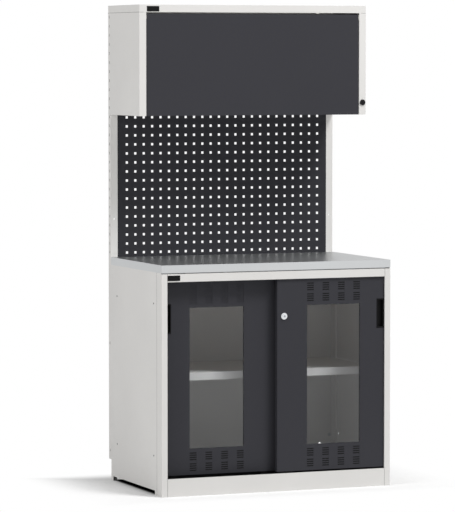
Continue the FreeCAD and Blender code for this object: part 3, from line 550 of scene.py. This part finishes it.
def upright_slot_shade(name, side):
    """Painted shade: dark patches for the row of narrow punched slots down an upright's outer wall,
    standing for the shade inside the slots.
    """
    low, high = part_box(f"{name}_upright")
    face = low.x if side < 0 else high.x
    pitch = 38 * MM
    slot_width = 3 * MM
    slot_height = 12 * MM
    corner_share = 1 / 2.2
    rim = 0.2 * MM
    proud = 0.15 * MM
    top_inset = 17 * MM
    top = high.z - top_inset
    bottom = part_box("worktop_cover")[1].z
    low_slots = [580 * MM, 126 * MM]
    row = [top - pitch * place for place in range(int((top - bottom) / pitch) + 1)]
    middle = (low.y + high.y) / 2

    def build(builder):
        outline = rounded_rectangle(slot_width, slot_height, slot_width * corner_share)
        for height in row + low_slots:
            rings = []
            for shrink, rise in ((0, 0), (rim, proud)):
                rings.append([
                    (
                        face + side * rise,
                        middle + y * (1 - shrink / slot_width),
                        height + z * (1 - shrink / slot_height),
                    )
                    for y, z in outline
                ])
            loft(builder, rings)

    add_piece(f"{name}_upright_slot_shade", build, "frame", "rubber")


for name, side in SIDES:
    upright_slot_shade(name, side)


# Light and floor

AMBIENT = 0.32
FLOOR_SIZE = 60
# Painted shade: the floor turns black under the object, between these shares of the distance to the
# footprint's edge.
PAINTED_SHADE_SHARES = (0.96, 1)
GLOW_SHARES = (1, 1.7)
LAMP_AIM = (0, 0, 1)
KEY_PLACE = (3.2, -4.7, 8.3)
KEY_SIDE = 2.6
KEY_POWER = 640
FILL_PLACE = (-5.6, -2, 4.6)
FILL_SIDE = 3
FILL_POWER = 150


def seen_ray(tree):
    """One where a ray comes from the eye, a mirror or a pane, and zero elsewhere."""
    rays = tree.nodes.new("ShaderNodeLightPath")
    first = tree.nodes.new("ShaderNodeMath")
    first.operation = "MAXIMUM"
    both = tree.nodes.new("ShaderNodeMath")
    both.operation = "MAXIMUM"
    tree.links.new(rays.outputs["Is Camera Ray"], first.inputs[0])
    tree.links.new(rays.outputs["Is Transmission Ray"], first.inputs[1])
    tree.links.new(first.outputs["Value"], both.inputs[0])
    tree.links.new(rays.outputs["Is Glossy Ray"], both.inputs[1])
    return both.outputs["Value"]


def studio_world():
    """White to the eye and in reflections, softer as light on the object."""
    world = bpy.data.worlds.new("studio")
    bpy.context.scene.world = world
    world.use_nodes = True
    tree = world.node_tree
    tree.nodes.clear()
    output = tree.nodes.new("ShaderNodeOutputWorld")
    mix = tree.nodes.new("ShaderNodeMixShader")
    tree.links.new(seen_ray(tree), mix.inputs["Fac"])
    for socket, strength in ((1, AMBIENT), (2, 1)):
        light = tree.nodes.new("ShaderNodeBackground")
        light.inputs["Color"].default_value = WHITE
        light.inputs["Strength"].default_value = strength
        tree.links.new(light.outputs["Background"], mix.inputs[socket])
    tree.links.new(mix.outputs["Shader"], output.inputs["Surface"])


def footprint_distance(tree):
    """How far a floor point lies from the object's middle: one is at the footprint's edge."""
    front_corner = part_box("left_front_post")[0]
    rear_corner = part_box("right_side_panel")[1]
    middle = (front_corner + rear_corner) / 2
    half = (rear_corner - front_corner) / 2
    place = tree.nodes.new("ShaderNodeTexCoord")
    squeeze = tree.nodes.new("ShaderNodeMapping")
    squeeze.inputs["Location"].default_value = (-middle.x / half.x, -middle.y / half.y, 0)
    squeeze.inputs["Scale"].default_value = (1 / half.x, 1 / half.y, 0)
    size = tree.nodes.new("ShaderNodeVectorMath")
    size.operation = "ABSOLUTE"
    axes = tree.nodes.new("ShaderNodeSeparateXYZ")
    away = tree.nodes.new("ShaderNodeMath")
    away.operation = "MAXIMUM"
    tree.links.new(place.outputs["Object"], squeeze.inputs["Vector"])
    tree.links.new(squeeze.outputs["Vector"], size.inputs[0])
    tree.links.new(size.outputs["Vector"], axes.inputs["Vector"])
    tree.links.new(axes.outputs["X"], away.inputs[0])
    tree.links.new(axes.outputs["Y"], away.inputs[1])
    return away.outputs["Value"]


def fade(tree, source, shares):
    """Rises smoothly from zero to one between two values of the source."""
    rise = tree.nodes.new("ShaderNodeMapRange")
    rise.interpolation_type = "SMOOTHSTEP"
    rise.inputs["From Min"].default_value, rise.inputs["From Max"].default_value = shares
    tree.links.new(source, rise.inputs["Value"])
    return rise.outputs["Result"]


def mix_shaders(tree, source, first, second):
    """The first shader where the source is zero, and the second where it is one."""
    mix = tree.nodes.new("ShaderNodeMixShader")
    tree.links.new(source, mix.inputs["Fac"])
    tree.links.new(first, mix.inputs[1])
    tree.links.new(second, mix.inputs[2])
    return mix.outputs["Shader"]


def studio_floor():
    """A pale floor with painted shade, black under the object, that keeps its shadow and runs out to
    white.
    """
    drift_cell = 500 * MM
    drift_share = 0.01
    roughness = 0.9
    bpy.ops.mesh.primitive_plane_add(size=FLOOR_SIZE)
    floor = bpy.context.object
    floor.name = "floor"
    material, tree, shader = new_material("floor")
    vary_colour(tree, shader, PALE_FLOOR, noise(tree, drift_cell, octaves=2), drift_share)
    shader.inputs["Roughness"].default_value = roughness
    shader.inputs["Specular IOR Level"].default_value = 0
    away = footprint_distance(tree)
    # Painted shade: a black floor under the object's footprint.
    dark = tree.nodes.new("ShaderNodeBsdfDiffuse")
    dark.inputs["Color"].default_value = BLACK
    under = fade(tree, away, PAINTED_SHADE_SHARES)
    contact = mix_shaders(tree, under, dark.outputs["BSDF"], shader.outputs["BSDF"])
    seen = tree.nodes.new("ShaderNodeMath")
    seen.operation = "MULTIPLY"
    tree.links.new(fade(tree, away, GLOW_SHARES), seen.inputs[0])
    tree.links.new(seen_ray(tree), seen.inputs[1])
    glow = tree.nodes.new("ShaderNodeEmission")
    ground = mix_shaders(tree, seen.outputs["Value"], contact, glow.outputs["Emission"])
    tree.links.new(ground, tree.nodes["Material Output"].inputs["Surface"])
    floor.data.materials.append(material)


def softbox(name, place, side, power):
    """A large square lamp at a place, turned to the object."""
    lamp = bpy.data.lights.new(name, "AREA")
    lamp.shape = "RECTANGLE"
    lamp.size = side
    lamp.size_y = side
    lamp.energy = power
    holder = bpy.data.objects.new(name, lamp)
    holder.location = place
    holder.rotation_euler = (Vector(LAMP_AIM) - Vector(place)).to_track_quat("-Z", "Y").to_euler()
    bpy.context.scene.collection.objects.link(holder)


studio_world()
studio_floor()
softbox("key", KEY_PLACE, KEY_SIDE, KEY_POWER)
softbox("fill", FILL_PLACE, FILL_SIDE, FILL_POWER)


# The picture's size and the view fitted to the photograph

PICTURE_HEIGHT_PIXELS = 512
FOCAL_PIXELS = 3260.9
VIEW_PLACE = (-5.1977, -12.603, 1.7953)
VIEW_YAW = math.radians(22.042)
VIEW_PITCH = math.radians(3.535)
lens = bpy.data.cameras.new("view")
lens.lens = lens.sensor_width * FOCAL_PIXELS / PICTURE_HEIGHT_PIXELS
camera = bpy.data.objects.new("view", lens)
camera.location = VIEW_PLACE
camera.rotation_euler = (math.pi / 2 - VIEW_PITCH, 0, -VIEW_YAW)
bpy.context.scene.collection.objects.link(camera)
bpy.context.scene.camera = camera
bpy.context.scene.view_settings.view_transform = "Standard"
